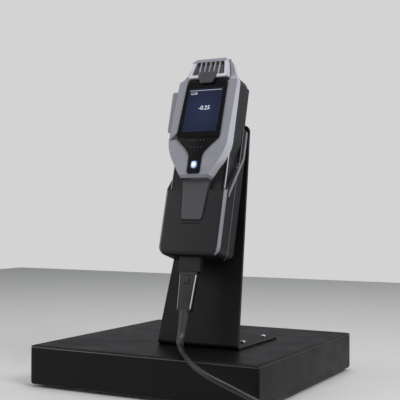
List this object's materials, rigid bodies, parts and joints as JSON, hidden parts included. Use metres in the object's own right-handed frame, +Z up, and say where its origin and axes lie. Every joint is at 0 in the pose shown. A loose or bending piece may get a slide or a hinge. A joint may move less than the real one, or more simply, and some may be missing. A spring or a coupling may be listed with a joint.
{
  "type": "handheld autorefractor on charging stand",
  "caption": "Hand-held eye refraction meter with tilted display, resting in a charging cradle on a leaning plate stand with a heavy square base and a lead.",
  "frame": {"origin": "middle of the base's footprint, on the table", "axes": "+X to the right of the display, +Y to the back, +Z up"},
  "size_m": [0.4285, 0.45, 0.3982],
  "materials": {
    "base_black": "satin black moulded plastic",
    "plate_black": "matte black powder coat on steel",
    "steel": "zinc plated steel",
    "rubber": "soft black rubber",
    "cord_rubber": "black PVC cord sheath",
    "cradle_grey": "charcoal ABS, fine spark finish",
    "shell_light": "pale grey ABS, satin",
    "shell_dark": "dark grey ABS, fine texture",
    "panel_black": "black ABS, matte",
    "window_black": "glossy black polycarbonate",
    "lcd": "dark display",
    "button_lit": "backlit translucent cap",
    "board_green": "solder mask",
    "gold": "gold plated contacts",
    "lens_glass": "coated optical glass",
    "tube_alu": "black anodised aluminium",
    "plug_grey": "dark grey moulded plug"
  },
  "bodies": {
    "stand": {"base_housing": "base_black", "base_bottom_plate": "steel", "base_plate_screws": "steel", "base_feet": "rubber", "ballast_plate": "steel", "stand_bracket": "plate_black", "bracket_screws": "steel", "bracket_nuts": "steel", "cradle_mount_block": "panel_black", "mount_screws": "steel", "cradle_back": "cradle_grey", "cradle_front": "cradle_grey", "cradle_floor": "panel_black", "seat_pad": "rubber", "dock_board": "board_green", "contact_barrels": "gold", "dock_socket": "panel_black", "socket_pins": "gold", "plug_body": "plug_grey", "cord_boot": "cord_rubber", "cord_run": "cord_rubber", "cord_coil": "cord_rubber", "coil_tie": "rubber", "cord_tail": "cord_rubber", "mains_plug": "plug_grey", "mains_pins": "gold"},
    "handset": {"rear_housing": "shell_dark", "side_band": "shell_dark", "head_cover": "shell_light", "handle_panel": "panel_black", "grip_panels": "rubber", "display_window": "window_black", "button_surround": "window_black", "lcd_panel": "lcd", "button_switch": "panel_black", "capture_switch": "panel_black", "lid_pin": "steel", "data_port": "steel", "main_board": "board_green", "battery_pack": "panel_black", "charge_pads": "gold", "housing_screws": "steel", "eye_lens": "lens_glass", "eye_lens_bezel": "panel_black", "optics_tube": "tube_alu", "lamp_ring": "board_green", "guide_rail": "steel", "optics_chassis": "tube_alu", "camera_module": "panel_black", "focus_motor": "steel"},
    "power_button": {"power_button": "button_lit"},
    "capture_bar": {"capture_bar": "shell_light"},
    "head_lid": {"head_lid": "shell_light"},
    "lid_catch": {"lid_catch": "shell_light"},
    "focus_carriage": {"focus_carriage": "tube_alu", "push_rod": "steel"},
    "plug_latch": {"plug_latch": "plug_grey"},
    "contact_pin_left": {"contact_pin_left": "gold"},
    "contact_pin_right": {"contact_pin_right": "gold"}
  },
  "joints": [
    {"name": "handset_lift", "type": "slide", "parent": "stand", "child": "handset", "axis": [0, 0.2588, 0.9659], "range_m": [0, 0.15]},
    {"name": "power_button_press", "type": "slide", "parent": "handset", "child": "power_button", "axis": [0, 0.9659, -0.2588], "range_m": [0, 0.0008], "stiffness_N_per_m": 400},
    {"name": "capture_bar_press", "type": "slide", "parent": "handset", "child": "capture_bar", "axis": [1, 0, 0], "range_m": [0, 0.0015], "stiffness_N_per_m": 600},
    {"name": "head_lid_hinge", "type": "hinge", "parent": "handset", "child": "head_lid", "pos_m": [0.0336, -0.03295, 0.39497], "axis": [-1, 0, 0], "range_deg": [0, 75]},
    {"name": "lid_catch_press", "type": "slide", "parent": "head_lid", "child": "lid_catch", "axis": [0, -0.2588, -0.9659], "range_m": [0, 0.0012], "stiffness_N_per_m": 400},
    {"name": "focus_slide", "type": "slide", "parent": "handset", "child": "focus_carriage", "axis": [0, -0.9659, 0.2588], "range_m": [-0.0036, 0.0036]},
    {"name": "plug_latch_press", "type": "slide", "parent": "stand", "child": "plug_latch", "axis": [0, 0.9659, -0.2588], "range_m": [0, 0.0008], "stiffness_N_per_m": 500},
    {"name": "contact_pin_left_press", "type": "slide", "parent": "stand", "child": "contact_pin_left", "axis": [0, -0.2588, -0.9659], "range_m": [0, 0.0012], "stiffness_N_per_m": 150},
    {"name": "contact_pin_right_press", "type": "slide", "parent": "stand", "child": "contact_pin_right", "axis": [0, -0.2588, -0.9659], "range_m": [0, 0.0012], "stiffness_N_per_m": 150}
  ]
}
